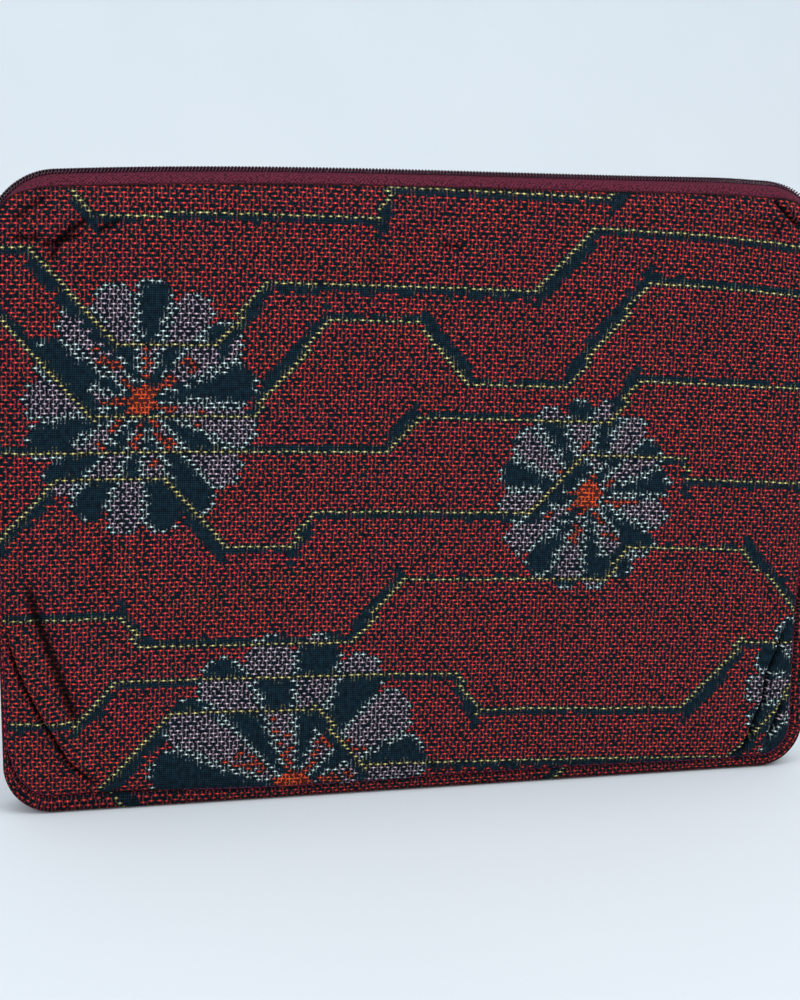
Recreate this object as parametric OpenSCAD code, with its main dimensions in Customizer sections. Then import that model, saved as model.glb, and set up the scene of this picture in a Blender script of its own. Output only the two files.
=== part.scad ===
// Padded laptop sleeve in woven fabric. It stands on its gusset with the zip on top.
// X runs across the width, Y through the thickness (front face at -Y), Z up.
// The origin is the middle of the flat base. All sizes are in millimetres.

/* [Overall size] */
// Width across the two side edges
sleeve_w = 335; // [300:1:380]
// Height from the flat base to the top of the zip
sleeve_h = 250; // [220:1:290]
// Thickness over both padded panels
sleeve_d = 24; // [22:0.5:30]

/* [Corners and seams] */
// Radius of the two top corners, followed by the zip
top_corner_r = 26; // [20:1:36]
// Radius of the two bottom corners, followed by the gusset
bottom_corner_r = 19; // [14:1:28]
// Distance of the panel seams in from the outer edge
seam_inset = 5.5; // [4.5:0.1:6]

/* [Layers] */
// Outer woven fabric of each panel
fabric_t = 0.6; // [0.4:0.1:0.8]
// Foam padding of each panel
foam_t = 3.6; // [3:0.1:4.2]
// Lining of each panel
lining_t = 0.4; // [0.3:0.1:0.5]
// Fabric of the gusset, with its interlining
gusset_t = 0.8; // [0.6:0.1:1]

/* [Zip] */
// Height at which the zip ends on both sides
zip_end_z = 105; // [90:1:115]
// Width of one coil
coil_w = 1.5; // [1.3:0.1:1.8]
// Thickness of the coils, top to bottom
coil_t = 1.8; // [1.5:0.1:2]
// Clear width between the two coils
coil_gap = 1.2; // [1:0.1:1.4]
// Thickness of the woven zip tapes
tape_t = 0.7; // [0.5:0.1:0.8]

/* [Flap] */
// Height of the line where the opened front panel folds forward
fold_z = 130; // [125:1:150]
// Clear gap left between the two sides of the fold
fold_gap = 0.3; // [0.2:0.1:0.6]

/* [Slider] */
// Length of the slider along the zip
slider_l = 10; // [8:0.5:12]
// Width of the slider's two plates
slider_w = 6.8; // [6.4:0.2:8]
// Thickness of the slider's two plates
plate_t = 1.1; // [0.8:0.1:1.3]
// Length of the pull, from its pin to its tip
pull_l = 30; // [20:1:40]

/* [Hidden] */
$fn = 64;
half_w = sleeve_w / 2;
half_d = sleeve_d / 2;
panel_r_top = top_corner_r - seam_inset;
panel_r_bottom = bottom_corner_r - seam_inset;
panel_half_w = half_w - seam_inset;
panel_bottom = seam_inset;
panel_top = sleeve_h - seam_inset;
top_centre_x = half_w - top_corner_r;
top_centre_z = sleeve_h - top_corner_r;
bottom_centre_x = half_w - bottom_corner_r;

// depths of the panel layers, measured from the middle plane
foam_y = half_d - fabric_t;
lining_y = foam_y - foam_t;
pocket_y = lining_y - lining_t;

// gusset section: a flat base, a quarter round and a short wall up to each panel
gusset_r = 3.5;
gusset_edge_y = half_d - 1.5;
gusset_flat_y = gusset_edge_y - gusset_r;
gusset_lining_t = 0.4;

// zip section, as distances in from the outer edge and out from the middle plane
coil_in_y = coil_gap / 2;
coil_out_y = coil_in_y + coil_w;
tape_seam_y = gusset_edge_y - 0.3;
tape_rise = 1;

// fold
flap_z = fold_z + fold_gap / 2;
base_top_z = fold_z - fold_gap / 2;

// slider
slider_z = zip_end_z + 5;
slide_clear = 0.3;
outer_plate_x = half_w + slide_clear;
inner_plate_x = half_w - coil_t - tape_t - 0.4;
neck_t = coil_gap - 2 * slide_clear;
neck_z = slider_z + 6.5;
neck_l = 2.2;
flange_t = 0.8;
flange_drop = 1.1;
window_z = slider_z + 4.6;
window_l = 1.4;
bridge_w = 1.8;
bridge_t = 0.7;
bridge_rise = 1.9;
bridge_x = outer_plate_x + plate_t;
bridge_z0 = slider_z + 0.8;
bridge_z1 = slider_z + slider_l - 0.8;
spring_t = 0.25;
spring_w = 1;

// pull
pin_r = 0.6;
pin_x = bridge_x + 0.2 + pin_r;
pin_z = slider_z + 3.6;
pull_t = 1.2;
pull_w = 5;
pull_tip_r = pull_w / 2;
yoke_in_y = bridge_w / 2 + 0.3;
yoke_l = 6.2;

// zip stops
stop_t = 0.5;
stop_l = 2.5;
stop_z = zip_end_z + 1;

fabric_colour = "#8c2f33";
foam_colour = "#6e7075";
lining_colour = "#3c4a58";
tape_colour = "#6b2840";
coil_colour = "#4a1f2d";
metal_colour = "#8d8a84";

// ---- placing helpers ----

// an XZ outline thickened from depth y0 to depth y1
module slab(y0, y1) {
    translate([0, y1, 0]) rotate([90, 0, 0]) linear_extrude(y1 - y0) children();
}

// the same shape on the left and on the right
module both_sides() {
    children();
    mirror([1, 0, 0]) children();
}

// The next four modules carry an edge section along the outline of the sleeve.
// A section's x is the distance in from the outer edge and its y is the depth.
module along_side(z0, z1) {
    translate([half_w, 0, z0]) linear_extrude(z1 - z0) mirror([1, 0]) children();
}

module round_corner(r, centre_x, centre_z, start_angle) {
    translate([centre_x, 0, centre_z]) rotate([90, 0, 0]) rotate([0, 0, start_angle])
        rotate_extrude(angle = 90) translate([r, 0]) rotate(180) children();
}

module along_top() {
    translate([-top_centre_x, 0, sleeve_h]) rotate([90, 0, 90])
        linear_extrude(2 * top_centre_x) rotate(-90) children();
}

module along_bottom() {
    translate([-bottom_centre_x, 0, 0]) rotate([90, 0, 90])
        linear_extrude(2 * bottom_centre_x) rotate(-90) mirror([1, 0]) children();
}

// a section carried from height z up one side, over the top and down the other
module over_the_top(z) {
    both_sides() {
        along_side(z, top_centre_z) children();
        round_corner(top_corner_r, top_centre_x, top_centre_z, 0) children();
    }
    along_top() children();
}

// a section carried down one side, under the base and up the other
module under_the_base() {
    both_sides() {
        along_side(bottom_corner_r, zip_end_z) children();
        round_corner(bottom_corner_r, bottom_centre_x, bottom_corner_r, -90) children();
    }
    along_bottom() children();
}

// ---- panel outlines ----

module lower_outline(z_cut) {
    corner_x = panel_half_w - panel_r_bottom;
    corner_z = panel_bottom + panel_r_bottom;
    for (side = [-1, 1]) translate([side * corner_x, corner_z]) circle(panel_r_bottom);
    translate([-corner_x, panel_bottom]) square([2 * corner_x, panel_r_bottom]);
    translate([-panel_half_w, corner_z]) square([2 * panel_half_w, z_cut - corner_z]);
}

module upper_outline(z_cut) {
    corner_x = panel_half_w - panel_r_top;
    corner_z = panel_top - panel_r_top;
    for (side = [-1, 1]) translate([side * corner_x, corner_z]) circle(panel_r_top);
    translate([-corner_x, corner_z]) square([2 * corner_x, panel_r_top]);
    translate([-panel_half_w, z_cut]) square([2 * panel_half_w, corner_z - z_cut]);
}

module whole_outline() {
    lower_outline(fold_z);
    upper_outline(fold_z);
}

// ---- edge sections ----

// the gusset's outline, shrunk by a skin depth
module tray(skin) {
    r = gusset_r - skin;
    for (side = [0, 1]) mirror([0, side])
        translate([gusset_r, gusset_flat_y]) intersection() {
            circle(r);
            translate([-r, 0]) square(r);
        }
    translate([skin, -gusset_flat_y]) square([r, 2 * gusset_flat_y]);
    translate([gusset_r, -gusset_flat_y - r])
        square([seam_inset - gusset_r, 2 * (gusset_flat_y + r)]);
}

module tray_shell(skin, thickness) {
    difference() {
        tray(skin);
        tray(skin + thickness);
    }
}

// side is -1 for the front tape and coil, 1 for the rear ones
module tape_section(side) {
    polygon([
        [seam_inset, side * tape_seam_y],
        [tape_rise, side * coil_out_y],
        [tape_rise + tape_t + 0.1, side * coil_out_y],
        [seam_inset, side * (tape_seam_y - 1.2)]
    ]);
}

module coil_section(side) {
    translate([0, side > 0 ? coil_in_y : -coil_out_y]) square([coil_t, coil_w]);
}

// ---- back panel ----

module back_panel() {
    color(fabric_colour) slab(foam_y, half_d) whole_outline();
}

module back_padding() {
    color(foam_colour) slab(lining_y, foam_y) whole_outline();
}

module back_lining() {
    color(lining_colour) slab(pocket_y, lining_y) whole_outline();
}

// ---- front panel, in two parts that meet at the fold ----

module front_panel_lower() {
    color(fabric_colour) slab(-half_d, -foam_y) lower_outline(base_top_z);
}

module front_padding_lower() {
    color(foam_colour) slab(-foam_y, -lining_y) lower_outline(base_top_z);
}

module front_lining_lower() {
    color(lining_colour) slab(-lining_y, -pocket_y) lower_outline(base_top_z);
}

module front_panel_upper() {
    color(fabric_colour) slab(-half_d, -foam_y) upper_outline(flap_z);
}

module front_padding_upper() {
    color(foam_colour) slab(-foam_y, -lining_y) upper_outline(flap_z);
}

module front_lining_upper() {
    color(lining_colour) slab(-lining_y, -pocket_y) upper_outline(flap_z);
}

// ---- gusset: the strip under the base and up the lower sides ----

module gusset() {
    color(fabric_colour) under_the_base() tray_shell(0, gusset_t);
}

module gusset_lining() {
    color(lining_colour) under_the_base() tray_shell(gusset_t, gusset_lining_t);
}

// ---- zip ----

module rear_zip_tape() {
    color(tape_colour) over_the_top(zip_end_z) tape_section(1);
}

module rear_zip_coil() {
    color(coil_colour) over_the_top(zip_end_z) coil_section(1);
}

module front_zip_tape() {
    color(tape_colour) over_the_top(flap_z) tape_section(-1);
}

module front_zip_coil() {
    color(coil_colour) over_the_top(flap_z) coil_section(-1);
}

module front_zip_tape_ends() {
    color(tape_colour) both_sides() along_side(zip_end_z, base_top_z) tape_section(-1);
}

module front_zip_coil_ends() {
    color(coil_colour) both_sides() along_side(zip_end_z, base_top_z) coil_section(-1);
}

// a staple that closes the zip below the parked slider
module zip_bottom_stop() {
    width = 2 * coil_out_y;
    color(metal_colour) {
        translate([half_w, -width / 2, stop_z]) cube([stop_t, width, stop_l]);
        translate([half_w - coil_t, -coil_in_y, stop_z]) cube([coil_t, coil_gap, stop_l]);
        translate([half_w - coil_t - stop_t, -width / 2, stop_z])
            cube([stop_t, width, stop_l]);
    }
}

// one small stop on each coil at the open end of the zip
module zip_top_stops() {
    color(metal_colour) for (side = [0, 1]) mirror([0, side, 0]) {
        translate([-half_w - stop_t, coil_in_y, stop_z]) cube([stop_t, coil_w, stop_l]);
        translate([-half_w + coil_t, coil_in_y, stop_z]) cube([stop_t, coil_w, stop_l]);
        translate([-half_w - stop_t, coil_in_y - 0.3, stop_z])
            cube([coil_t + 2 * stop_t, 0.3, stop_l]);
    }
}

// ---- slider ----

// a plate in the YZ plane with rounded ends, thickened along +X from x
module slider_plate(x) {
    corner_r = 1.5;
    inner_w = slider_w - 2 * corner_r;
    translate([x, 0, slider_z]) rotate([90, 0, 90]) linear_extrude(plate_t) {
        for (y = [-inner_w / 2, inner_w / 2], z = [corner_r, slider_l - corner_r])
            translate([y, z]) circle(corner_r);
        translate([-slider_w / 2, corner_r]) square([slider_w, slider_l - 2 * corner_r]);
        translate([-inner_w / 2, 0]) square([inner_w, slider_l]);
    }
}

module slider_body() {
    flange_l = slider_l - 3;
    color(metal_colour) {
        difference() {
            slider_plate(outer_plate_x);
            translate([outer_plate_x - 1, -0.8, window_z])
                cube([plate_t + 2, 1.6, window_l]);
        }
        slider_plate(inner_plate_x - plate_t);
        translate([inner_plate_x, -neck_t / 2, neck_z])
            cube([outer_plate_x - inner_plate_x, neck_t, neck_l]);
        for (side = [0, 1]) mirror([0, side, 0])
            translate([outer_plate_x - flange_drop, slider_w / 2 - flange_t, slider_z + 1.5])
                cube([flange_drop, flange_t, flange_l]);
    }
}

// the arch that holds the pull's pin down on the body
module slider_bridge() {
    post_l = 0.9;
    bridge_l = bridge_z1 - bridge_z0;
    color(metal_colour) translate([bridge_x, -bridge_w / 2, bridge_z0]) {
        cube([bridge_rise, bridge_w, post_l]);
        translate([0, 0, bridge_l - post_l]) cube([bridge_rise, bridge_w, post_l]);
        translate([bridge_rise, 0, 0]) cube([bridge_t, bridge_w, bridge_l]);
    }
}

// a leaf under the bridge with a tooth that drops through the window to the coils
module lock_spring() {
    leaf_l = bridge_z1 - bridge_z0 - 1.8;
    tooth_l = 0.5;
    color(metal_colour) {
        translate([bridge_x + bridge_rise - spring_t, -spring_w / 2, bridge_z0 + 0.9])
            cube([spring_t, spring_w, leaf_l]);
        translate([outer_plate_x, -spring_w / 2, window_z + 0.4])
            cube([bridge_x + bridge_rise - outer_plate_x, spring_w, tooth_l]);
    }
}

// two arms on a pin, joined to a flat tab that hangs below the slider
module pull_tab() {
    arm_w = pull_w / 2 - yoke_in_y;
    tab_l = pull_l - yoke_l - pull_tip_r;
    color(metal_colour) translate([pin_x, 0, pin_z]) {
        rotate([90, 0, 0]) cylinder(h = pull_w, r = pin_r, center = true);
        for (side = [0, 1]) mirror([0, side, 0])
            translate([-pull_t / 2, yoke_in_y, -yoke_l - 0.5])
                cube([pull_t, arm_w, yoke_l + 0.5]);
        translate([-pull_t / 2, -pull_w / 2, -yoke_l - tab_l])
            cube([pull_t, pull_w, tab_l]);
        translate([0, 0, -yoke_l - tab_l]) rotate([0, 90, 0])
            cylinder(h = pull_t, r = pull_tip_r, center = true);
    }
}

back_panel();
back_padding();
back_lining();
front_panel_lower();
front_padding_lower();
front_lining_lower();
front_panel_upper();
front_padding_upper();
front_lining_upper();
gusset();
gusset_lining();
rear_zip_tape();
rear_zip_coil();
front_zip_tape();
front_zip_coil();
front_zip_tape_ends();
front_zip_coil_ends();
zip_bottom_stop();
zip_top_stops();
slider_body();
slider_bridge();
lock_spring();
pull_tab();
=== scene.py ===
"""The looks of a padded laptop sleeve in kasuri cloth with a burgundy zip over the top.

Lengths are in millimetres until a mesh is made, and in metres for the lights and the floor. X runs along
the width, Z up, and the front faces -Y.
"""

import math
import random

import bmesh
import bpy
from mathutils import Matrix, Vector, noise


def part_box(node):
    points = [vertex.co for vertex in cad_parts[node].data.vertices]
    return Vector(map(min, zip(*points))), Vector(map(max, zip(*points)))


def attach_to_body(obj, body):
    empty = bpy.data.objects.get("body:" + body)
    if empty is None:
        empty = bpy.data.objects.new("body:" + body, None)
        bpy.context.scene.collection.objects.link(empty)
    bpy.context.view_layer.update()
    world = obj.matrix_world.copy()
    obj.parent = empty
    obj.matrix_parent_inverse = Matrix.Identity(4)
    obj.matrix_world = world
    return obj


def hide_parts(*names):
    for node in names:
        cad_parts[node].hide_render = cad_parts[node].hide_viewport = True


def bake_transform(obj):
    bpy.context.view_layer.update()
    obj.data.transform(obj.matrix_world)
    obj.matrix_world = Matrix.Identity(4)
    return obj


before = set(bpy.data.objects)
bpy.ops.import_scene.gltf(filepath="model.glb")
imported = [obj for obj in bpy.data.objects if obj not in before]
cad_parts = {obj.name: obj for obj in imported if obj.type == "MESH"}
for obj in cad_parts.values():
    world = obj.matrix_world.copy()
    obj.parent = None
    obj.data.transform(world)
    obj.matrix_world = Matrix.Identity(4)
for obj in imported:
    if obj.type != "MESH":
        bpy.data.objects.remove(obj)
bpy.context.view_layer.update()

MM = 0.001


# ---- sizes

def box_mm(node):
    """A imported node's lowest and highest corners, in millimetres."""
    low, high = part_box(node)
    return low / MM, high / MM


gusset_low, gusset_high = box_mm("gusset")
panel_low, panel_high = box_mm("back_panel")
lining_low, lining_high = box_mm("back_lining")
coil_low, coil_high = box_mm("rear_zip_coil")

HALF_W = gusset_high.x
HEIGHT = coil_high.z
HALF_D = panel_high.y
SEAM_INSET = HALF_W - panel_high.x
PANEL_HALF_W = panel_high.x
PANEL_BOTTOM = panel_low.z
PANEL_TOP = panel_high.z
POCKET_Y = lining_low.y
LINING_Y = lining_high.y
ZIP_END_Z = gusset_high.z
TOP_CORNER_R = 26
BOTTOM_CORNER_R = 19

# one column and one row of the cloth's marks
COLUMN = 1.55
ROW = 1.7

# how much narrower the inner side of a panel and its lining are than the panel
INNER_SHARE = 0.998


# ---- small maths

def lerp(a, b, t):
    return a + (b - a) * t


def smooth(low, high, value):
    """0 below low, 1 above high and a smooth step between."""
    t = min(max((value - low) / (high - low), 0), 1)
    return t * t * (3 - 2 * t)


def bell(value, width):
    """1 at value 0, falling off on both sides over about the width."""
    return math.exp(-((value / width) ** 2))


def ripple(x, z, size, layer):
    """Smooth noise from about -1 to 1, with bumps some size mm across."""
    return noise.noise(Vector((x / size, z / size, layer)))


def sides_of(ring):
    """Each point of a closed ring with the next."""
    return list(zip(ring, ring[1:] + ring[:1]))


# ---- outline

def rim_length(far_z, corner_r):
    """Length of the outline from the right zip end to the left, by way of the edge at far_z."""
    rise = abs(far_z - ZIP_END_Z) - corner_r
    return 2 * (rise + math.pi / 2 * corner_r + HALF_W - corner_r)


def rim_point(s, far_z, corner_r):
    """Point x, z and outward normal at length s along the outline, from right to left."""
    way = 1 if far_z > ZIP_END_Z else -1
    rise = abs(far_z - ZIP_END_Z) - corner_r
    arc = math.pi / 2 * corner_r
    flat = HALF_W - corner_r
    half = rise + arc + flat
    side = -1 if s > half else 1
    t = 2 * half - s if s > half else s
    if t < rise:
        x, z, nx, nz = HALF_W, t, 1, 0
    elif t < rise + arc:
        nx = math.cos((t - rise) / corner_r)
        nz = math.sin((t - rise) / corner_r)
        x = flat + corner_r * nx
        z = rise + corner_r * nz
    else:
        x, z, nx, nz = flat - (t - rise - arc), rise + corner_r, 0, 1
    return side * x, ZIP_END_Z + way * z, side * nx, way * nz


def over_top(s):
    """The outline over the top, along which the zip runs."""
    return rim_point(s, HEIGHT, TOP_CORNER_R)


def under_base(s):
    """The outline under the base, along which the gusset runs."""
    return rim_point(s, 0, BOTTOM_CORNER_R)


TOP_LENGTH = rim_length(HEIGHT, TOP_CORNER_R)
BASE_LENGTH = rim_length(0, BOTTOM_CORNER_R)


def edge_distance(x, z):
    """How far a point of a panel lies inside its seam."""
    upper = z > HEIGHT / 2
    radius = (TOP_CORNER_R if upper else BOTTOM_CORNER_R) - SEAM_INSET
    dx = abs(x) - (PANEL_HALF_W - radius)
    dz = z - (PANEL_TOP - radius) if upper else PANEL_BOTTOM + radius - z
    if dx > 0 and dz > 0:
        return radius - math.hypot(dx, dz)
    return radius - max(dx, dz)


def panel_outline():
    """The seam as a convex polygon, anticlockwise from the lower right."""
    corners = (
        (PANEL_HALF_W, PANEL_BOTTOM, BOTTOM_CORNER_R - SEAM_INSET, -90),
        (PANEL_HALF_W, PANEL_TOP, TOP_CORNER_R - SEAM_INSET, 0),
        (-PANEL_HALF_W, PANEL_TOP, TOP_CORNER_R - SEAM_INSET, 90),
        (-PANEL_HALF_W, PANEL_BOTTOM, BOTTOM_CORNER_R - SEAM_INSET, 180),
    )
    steps = 16
    points = []
    for x, z, radius, start in corners:
        centre_x = x - math.copysign(radius, x)
        centre_z = z + (radius if z == PANEL_BOTTOM else -radius)
        for step in range(steps + 1):
            angle = math.radians(start + 90 * step / steps)
            points.append((centre_x + radius * math.cos(angle), centre_z + radius * math.sin(angle)))
    return points


def crest_drop(x, z):
    """How far the top edge lies from its drawn height, since the made-up sleeve isn't quite square."""
    u = x / HALF_W
    return smooth(200, 244, z) * (3 * u ** 3 - 2 * u ** 2 - 2 * u - 1.2 * bell(x - 147, 16))


def seam_shift(x, z):
    """How far off its drawn place the panel was sewn in at x, z, as dx and dz."""
    # the left seam bulges out, the top edge sags between its corners and the base has shallow waves
    u = x / HALF_W
    top = smooth(205, 244, z)
    base = smooth(45, 8, z)
    left = smooth(-130, -162, x) * smooth(8, 32, z) * smooth(246, 215, z)
    right = smooth(130, 162, x) * smooth(100, 60, z)
    top_left = bell(math.hypot(x + 157, z - 238), 9)
    top_right = bell(math.hypot(x - 155, z - 238), 9)
    dx = -4.6 * left - 1.3 * right - 1.8 * top_left
    slack = 1.4 + 0.5 * smooth(0.5, 0.9, u)
    dz = crest_drop(x, z) - slack * top * (1 - top_left) + 0.8 * top_left + 1.8 * top_right
    dz += base * (2.1 * bell(x + 129, 42) - 0.8 * bell(x - 120, 30) - 0.8 * bell(x + 50, 60))
    return dx, dz


def drawn_place(x, z):
    """The drawn place of the point that was sewn in at x, z."""
    drawn_x, drawn_z = x, z
    for _ in range(3):
        dx, dz = seam_shift(drawn_x, drawn_z)
        drawn_x, drawn_z = x - dx, z - dz
    return drawn_x, drawn_z


def cloth_to_panel(p, q):
    """Where point p, q of the cloth lies on the panel. The cloth was cut a little askew and its rows sag."""
    sag = 0.0001 * p ** 2 + 0.0006 * max(0, p - 90) ** 2 * smooth(180, 230, q)
    return p + 0.04 * (q - HEIGHT / 2), q - 0.034 * p - sag


# ---- the woven pattern

class Zigzag:
    """A yellow line across the cloth, with a dark band above it (1) or below it (-1)."""

    def __init__(self, band_side, *points):
        self.band_side = band_side
        self.points = points

    def at(self, x):
        """Height and slope of the line at x, level beyond its ends."""
        for (x0, z0), (x1, z1) in zip(self.points, self.points[1:]):
            if x0 <= x <= x1:
                slope = (z1 - z0) / (x1 - x0)
                return z0 + slope * (x - x0), slope
        x_end, z_end = self.points[0] if x < self.points[0][0] else self.points[-1]
        return z_end, 0

    def covers(self, x):
        return self.points[0][0] <= x <= self.points[-1][0]


LINE_1 = Zigzag(
    -1, (-140.5, 239), (-130, 228.6), (-110, 228.9), (-106, 229.6), (-26, 230), (-20, 242), (68, 242.5),
    (76, 251)
)
LINE_2 = Zigzag(
    -1, (-175, 217), (-156, 217), (-122, 181), (-85, 181), (-68, 204), (39, 204), (62, 230), (175, 230)
)
LINE_3 = Zigzag(
    1, (-175, 199), (-172, 196), (-130, 153.5), (-71, 153.5), (-42, 191), (-6, 191), (15, 167), (54, 167),
    (87, 210.5), (175, 210.5)
)
LINE_4 = Zigzag(1, (-175, 141), (-18, 140.5), (-6, 153.5), (73, 153.5), (85, 170.5), (175, 170.5))
LINE_5 = Zigzag(
    -1, (-175, 96), (-170, 102), (-145, 130), (-103, 130), (-80, 103), (-55, 103), (-45, 116), (41, 116),
    (64, 140), (106, 140), (110, 131), (175, 131)
)
LINE_6 = Zigzag(
    1, (-175, 76), (-120, 75.5), (-111, 64.5), (-28, 64.5), (-8, 88.5), (75, 88.5), (85, 102), (136, 102),
    (175, 65)
)
LINE_7 = Zigzag(
    -1, (-175, 34), (-137, 34), (-121, 50), (15, 50), (25, 35), (114, 35), (138, 64), (175, 64)
)
LINE_8 = Zigzag(-1, (-126, 6), (-99.5, 37), (-42, 37), (-20, 12), (136, 12), (175, 58))
LINES = (LINE_1, LINE_2, LINE_3, LINE_4, LINE_5, LINE_6, LINE_7, LINE_8)

PETAL_ANGLE = 22.5
OUTLINE_W = 1.9
TIP_W = 1.5


class Flower:
    """A chrysanthemum whose light and dark petals change places across each of some lines.

    bulge makes its petals that share longer towards the angle heading, and tall stretches it upwards.
    """

    def __init__(self, x, z, reach, core, turn, swaps, lean=0, bulge=0.05, heading=-90, tall=1):
        self.x = x
        self.z = z
        self.reach = reach
        self.core = core
        self.turn = turn
        self.swaps = swaps
        self.lean = lean
        self.bulge = bulge
        self.heading = heading
        self.tall = tall

    def mark(self, x, z, dice):
        """The mark at x, z as a colour and a strength, or None outside the flower."""
        dx = (x - self.x) * self.tall
        dz = (z - self.z) / self.tall
        radius = math.hypot(dx, dz)
        if radius > 1.1 * self.reach:
            return None
        angle = math.degrees(math.atan2(dz, dx))
        angle += self.lean * math.sin(math.radians(angle - 250))
        place = (angle - self.turn) / PETAL_ANGLE + 0.5
        index = math.floor(place)
        across = place - index
        crossed = sum(z < line.at(x)[0] for line in self.swaps)
        light = (index + crossed) % 2 == 0
        # petals have round tips and frosted outlines, and orange marks thin out from the core
        tip = self.reach * (0.82 + 0.18 * math.sqrt(1 - (2 * across - 1) ** 2))
        tip *= 1 + self.bulge * math.cos(math.radians(angle - self.heading))
        outline = OUTLINE_W * (0.7 if light else 1) * min(1, radius / (0.45 * self.reach))
        if radius > tip:
            return None
        if radius < self.core:
            return "orange", 1.5
        side = min(across, 1 - across) * math.radians(PETAL_ANGLE) * radius
        if tip - radius < TIP_W or side < outline:
            return "frost", 1 if dice.random() < 0.96 else 0
        if not light:
            return "navy", 0
        if dice.random() < 1.25 * (1 - radius / (0.6 * self.reach)):
            return "orange", 1.1
        return "rose", 1


FLOWERS = (
    Flower(-112.5, 159.5, 47, 5.2, 105, (LINE_2, LINE_4, LINE_5), lean=6, heading=-95, tall=1.055),
    Flower(66, 124, 38.5, 5.6, 32, (LINE_4, LINE_5, LINE_6), bulge=0.04, heading=180, tall=1.04),
    Flower(-49.3, 3, 59.5, 7.5, 81, (LINE_6, LINE_7, LINE_8), bulge=0.06, heading=125, tall=1.05),
    Flower(183.5, 43.5, 42, 4.8, 157, (LINE_7, LINE_8)),
)

# slope past which a line counts as steep
STEEP = 0.35


def cloth_mark(x, z, dice, lines, flowers):
    """The mark that the weft makes at x, z of the cloth, as a colour's name and a strength."""
    steep_band = flat_band = False
    for line in lines:
        if not line.covers(x):
            continue
        height, slope = line.at(x)
        rise = z - height
        steep = abs(slope) > STEEP
        if steep and abs(rise / slope) < COLUMN or not steep and height // ROW == z // ROW:
            return "yellow", 1
        depth = rise * line.band_side * math.cos(math.atan(slope))
        fray = dice.uniform(-0.6, 0.6)
        steep_band |= steep and 0 < depth < 4.9 + fray
        flat_band |= not steep and 0 < depth < 2.4 + fray
    if steep_band:
        return "navy", 0
    for flower in flowers:
        mark = flower.mark(x, z, dice)
        if mark:
            return mark
    if flat_band:
        return "navy", 0
    return "red", 1


def srgb(r, g, b):
    """Linear colour of the 0 to 255 screen colour r, g, b."""
    return tuple((c / 255 / 12.92) if c < 10 else ((c / 255 + 0.055) / 1.055) ** 2.4 for c in (r, g, b))


MARK_COLOURS = {
    "red": srgb(232, 70, 54),
    "yellow": srgb(218, 208, 132),
    "orange": srgb(232, 88, 44),
    "rose": srgb(208, 186, 198),
    "frost": srgb(208, 234, 230),
    "navy": srgb(30, 60, 72),
}


class Weave:
    """The marks on one piece of cloth. Each mark is two threads wide, and rows are staggered."""

    def __init__(self, place, seed, lines=LINES, flowers=FLOWERS):
        self.place = place
        self.lines = lines
        self.flowers = flowers
        self.dice = random.Random(seed)
        self.marks = {}

    def brick(self, column, row):
        """The number and row of the weft float that a cell belongs to."""
        return (column + row % 2) // 2, row

    def own_mark(self, brick):
        """A float's mark, drawn when it is first asked for."""
        if brick not in self.marks:
            number, row = brick
            x = (2 * number + 1 - row % 2) * COLUMN
            z = (row + 0.5) * ROW
            self.marks[brick] = cloth_mark(*self.place(x, z), self.dice, self.lines, self.flowers)
        return self.marks[brick]

    def cell(self, column, row):
        """Colour, dash strength and tick strength of the cell in a column and row."""
        brick = self.brick(column, row)
        colour, strength = self.own_mark(brick)
        if strength > 0.5:
            return MARK_COLOURS[colour], strength, 0.6 if colour == "yellow" else 1
        takes_warp = (brick[0] * 7 + row * 3) % 5 < 2
        for other_row in (row - 1, row + 1):
            near = self.own_mark(self.brick(column, other_row))
            if near[1] > 0.5 and takes_warp:
                return MARK_COLOURS[near[0]], 0, 0.6
        return MARK_COLOURS[colour], strength, 0


# ---- the shape of the padded faces

class Crease:
    """A fold pressed into a padded face, along points x, z.

    lap is how far the cloth stands lower on the fold's left (seen along its points) than on its right.
    """

    def __init__(self, depth, width, *points, lap=0.0):
        self.depth = depth
        self.width = width
        self.points = points
        self.lap = lap

    def nearest(self, x, z):
        """Distance to the fold, positive on its left, and how far along it that is, from 0 to 1."""
        nearest = 1e9
        along = 0
        side = 1
        for index, ((x0, z0), (x1, z1)) in enumerate(zip(self.points, self.points[1:])):
            run = (x1 - x0) ** 2 + (z1 - z0) ** 2
            t = min(max(((x - x0) * (x1 - x0) + (z - z0) * (z1 - z0)) / run, 0), 1)
            distance = math.hypot(x - x0 - t * (x1 - x0), z - z0 - t * (z1 - z0))
            if distance < nearest:
                nearest = distance
                along = (index + t) / (len(self.points) - 1)
                side = 1 if (x1 - x0) * (z - z0) > (z1 - z0) * (x - x0) else -1
        return nearest * side, along

    def is_near(self, x, z):
        """Whether the mesh has to be fine at x, z to show the fold."""
        return self.width < 2 and abs(self.nearest(x, z)[0]) < 2.5 * self.width + 1

    def shape(self, x, z):
        """How far the face moves outwards at x, z, and how much painted shade the fold gets there."""
        signed, along = self.nearest(x, z)
        distance = abs(signed)
        if distance > 8 * self.width:
            return 0, 0
        fade = smooth(0, 0.18, along) * smooth(1, 0.82, along) * 0.85 + 0.15
        valley = bell(distance, self.width)
        ridge = bell(distance - 2.6 * self.width, 1.5 * self.width)
        lapped = self.lap * smooth(0, 0.6 * self.width, signed) * bell(distance, 4 * self.width)
        lift = self.depth * fade * (0.4 * ridge - valley - lapped)
        # painted shade: darkening for the cloth's colour in the fold's valley and under its lap
        dark = min(1, self.depth / 2) * fade * (bell(distance, 0.62 * self.width) + 0.35 * lapped)
        return lift, dark


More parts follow.
